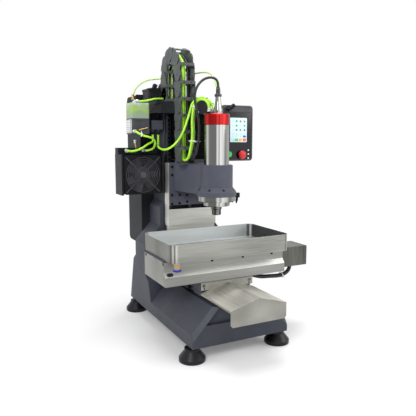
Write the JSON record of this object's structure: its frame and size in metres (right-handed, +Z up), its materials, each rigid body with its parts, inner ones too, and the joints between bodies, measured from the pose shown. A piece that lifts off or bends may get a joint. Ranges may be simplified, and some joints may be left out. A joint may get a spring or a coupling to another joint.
{
  "type": "benchtop cnc mill",
  "caption": "Bench-size three-axis mill with a cast frame, stainless tray table, flanged spindle, drag chain, fan radiator, pump, rear cabinet and panel.",
  "frame": {"origin": "bottom centre of the whole machine's box, on the bench", "axes": "+X along the table towards the X motor, +Y from the operator towards the column, +Z up"},
  "size_m": [0.66, 0.856, 1.094],
  "materials": {
    "frame_casting": "satin dark blue-grey paint over cast iron",
    "levelling_feet": "black rubber-faced pads",
    "linear_rails": "ground steel",
    "screw_bearings": "black oxide steel",
    "axis_motors": "black painted motors",
    "z_belt": "black toothed rubber",
    "z_belt_housing": "black housing with a grey lid",
    "z_cover_fixed": "brushed stainless sheet",
    "z_bellows": "black pleated coated fabric",
    "drag_chain_rear": "black moulded links",
    "cabinet_body": "dark grey powder coat",
    "cabinet_drives": "dark drive cases on a plate",
    "radiator": "black anodised aluminium",
    "fan_frame": "black moulding",
    "fan_guard": "black wire",
    "equipment_brackets": "black sheet metal",
    "pump_body": "black moulding",
    "reservoir": "milky translucent plastic",
    "hmi_arm": "black sheet metal",
    "hose_pump_radiator": "lime translucent hose",
    "hose_radiator_manifold": "lime translucent hose",
    "hose_tank_return": "lime translucent hose",
    "y_ball_screw": "ground steel",
    "z_ball_screw": "ground steel",
    "z_motor_pulley": "turned aluminium",
    "fan_rotor": "black moulding",
    "drag_chain_loop": "black moulded links",
    "cabinet_door": "dark grey powder coat",
    "reservoir_cap": "black moulding",
    "z_slide_plate": "satin dark blue-grey paint",
    "spindle_bracket": "satin dark blue-grey paint",
    "spindle_body": "polished stainless steel",
    "spindle_cap": "red anodised aluminium",
    "spindle_connector": "polished metal shell with a black strain relief",
    "head_fittings": "black push-in fittings",
    "spindle_nose": "turned stainless steel",
    "z_cover_moving": "brushed stainless sheet",
    "drag_chain_front": "black moulded links",
    "hose_spindle_feed": "lime translucent hose",
    "hose_spindle_return": "lime translucent hose",
    "hose_second": "lime translucent hose",
    "spindle_cable": "black jacket",
    "air_line": "lime translucent hose",
    "spindle_shaft": "ground steel",
    "collet_nut": "ground steel",
    "saddle_casting": "satin dark blue-grey paint",
    "y_way_cover": "brushed stainless sheet",
    "motor_conduit": "black jacket",
    "table_plate": "ground cast iron",
    "slot_table": "milled aluminium",
    "coolant_tray": "brushed stainless sheet",
    "drain_fitting": "nickel brass with a blue ring",
    "table_skirt": "brushed stainless sheet",
    "x_motor": "black painted motor",
    "x_motor_cover": "brushed stainless sheet",
    "x_ball_screw": "ground steel",
    "hmi_housing": "black moulding",
    "stop_button": "red moulding",
    "start_button": "green moulding",
    "clamp_lever": "black moulding"
  },
  "bodies": {
    "frame": {"frame_casting": "frame_casting", "levelling_feet": "levelling_feet", "linear_rails": "linear_rails", "screw_bearings": "screw_bearings", "axis_motors": "axis_motors", "z_belt": "z_belt", "z_belt_housing": "z_belt_housing", "z_cover_fixed": "z_cover_fixed", "z_bellows": "z_bellows", "drag_chain_rear": "drag_chain_rear", "cabinet_body": "cabinet_body", "cabinet_drives": "cabinet_drives", "radiator": "radiator", "fan_frame": "fan_frame", "fan_guard": "fan_guard", "equipment_brackets": "equipment_brackets", "pump_body": "pump_body", "reservoir": "reservoir", "hmi_arm": "hmi_arm", "hose_pump_radiator": "hose_pump_radiator", "hose_radiator_manifold": "hose_radiator_manifold", "hose_tank_return": "hose_tank_return"},
    "y_screw": {"y_ball_screw": "y_ball_screw"},
    "z_screw": {"z_ball_screw": "z_ball_screw"},
    "z_pulley": {"z_motor_pulley": "z_motor_pulley"},
    "fan": {"fan_rotor": "fan_rotor"},
    "chain_loop": {"drag_chain_loop": "drag_chain_loop"},
    "door": {"cabinet_door": "cabinet_door"},
    "tank_cap": {"reservoir_cap": "reservoir_cap"},
    "head": {"z_slide_plate": "z_slide_plate", "spindle_bracket": "spindle_bracket", "spindle_body": "spindle_body", "spindle_cap": "spindle_cap", "spindle_connector": "spindle_connector", "head_fittings": "head_fittings", "spindle_nose": "spindle_nose", "z_cover_moving": "z_cover_moving", "drag_chain_front": "drag_chain_front", "hose_spindle_feed": "hose_spindle_feed", "hose_spindle_return": "hose_spindle_return", "hose_second": "hose_second", "spindle_cable": "spindle_cable", "air_line": "air_line"},
    "spindle": {"spindle_shaft": "spindle_shaft", "collet_nut": "collet_nut"},
    "saddle": {"saddle_casting": "saddle_casting", "y_way_cover": "y_way_cover", "motor_conduit": "motor_conduit"},
    "table": {"table_plate": "table_plate", "slot_table": "slot_table", "coolant_tray": "coolant_tray", "drain_fitting": "drain_fitting", "table_skirt": "table_skirt", "x_motor": "x_motor", "x_motor_cover": "x_motor_cover"},
    "x_screw": {"x_ball_screw": "x_ball_screw"},
    "panel": {"hmi_housing": "hmi_housing"},
    "stop": {"stop_button": "stop_button"},
    "start": {"start_button": "start_button"},
    "lever": {"clamp_lever": "clamp_lever"}
  },
  "joints": [
    {"name": "z_slide", "type": "slide", "parent": "frame", "child": "head", "axis": [0, 0, 1], "range_m": [-0.045, 0.03], "deforming": ["z_bellows", "drag_chain_rear", "drag_chain_front", "hose_spindle_feed", "air_line"]},
    {"name": "y_slide", "type": "slide", "parent": "frame", "child": "saddle", "axis": [0, 1, 0], "range_m": [-0.11, 0.06]},
    {"name": "x_slide", "type": "slide", "parent": "saddle", "child": "table", "axis": [1, 0, 0], "range_m": [-0.12, 0.12]},
    {"name": "z_screw_turn", "type": "hinge", "parent": "frame", "child": "z_screw", "pos_m": [-0.042, 0.113, 0.6], "axis": [0, 0, 1], "range_deg": [-3242, 2162]},
    {"name": "z_motor_turn", "type": "hinge", "parent": "frame", "child": "z_pulley", "pos_m": [-0.152, 0.211, 0.87], "axis": [0, 0, 1], "range_deg": [-3242, 2162]},
    {"name": "y_screw_turn", "type": "hinge", "parent": "frame", "child": "y_screw", "pos_m": [-0.042, -0.127, 0.16], "axis": [0, 1, 0], "range_deg": [-7922, 4322]},
    {"name": "x_screw_turn", "type": "hinge", "parent": "table", "child": "x_screw", "pos_m": [-0.042, -0.142, 0.292], "axis": [1, 0, 0], "range_deg": [-8642, 8642]},
    {"name": "chain_roll", "type": "slide", "parent": "frame", "child": "chain_loop", "axis": [0, 0, 1], "range_m": [-0.0226, 0.0151]},
    {"name": "spindle_spin", "type": "hinge", "parent": "head", "child": "spindle", "pos_m": [-0.042, -0.127, 0.49], "axis": [0, 0, 1], "continuous": true},
    {"name": "fan_spin", "type": "hinge", "parent": "frame", "child": "fan", "pos_m": [-0.243, 0.123, 0.61], "axis": [0, 1, 0], "continuous": true},
    {"name": "door_hinge", "type": "hinge", "parent": "frame", "child": "door", "pos_m": [0.1208, 0.406, 0.616], "axis": [0, 0, -1], "range_deg": [0, 110]},
    {"name": "cap_turn", "type": "hinge", "parent": "frame", "child": "tank_cap", "pos_m": [-0.243, 0.143, 0.9], "axis": [0, 0, 1], "range_deg": [0, 90]},
    {"name": "panel_swivel", "type": "hinge", "parent": "frame", "child": "panel", "pos_m": [0.174, 0.163, 0.775], "axis": [0, 0, 1], "range_deg": [-20, 20]},
    {"name": "stop_press", "type": "slide", "parent": "panel", "child": "stop", "axis": [0, 1, 0], "range_m": [0, 0.004], "stiffness_N_per_m": 800},
    {"name": "start_press", "type": "slide", "parent": "panel", "child": "start", "axis": [0, 1, 0], "range_m": [0, 0.003], "stiffness_N_per_m": 500},
    {"name": "lever_turn", "type": "hinge", "parent": "panel", "child": "lever", "pos_m": [0.136, 0.093, 0.879], "axis": [0, 1, 0], "range_deg": [-30, 30]}
  ],
  "couplings": [
    {"joint": "z_screw_turn", "follows": "z_slide", "rad_per_m": 1256.6},
    {"joint": "z_motor_turn", "follows": "z_slide", "rad_per_m": 1256.6},
    {"joint": "chain_roll", "follows": "z_slide", "ratio": 0.5},
    {"joint": "y_screw_turn", "follows": "y_slide", "rad_per_m": 1256.6},
    {"joint": "x_screw_turn", "follows": "x_slide", "rad_per_m": 1256.6}
  ]
}
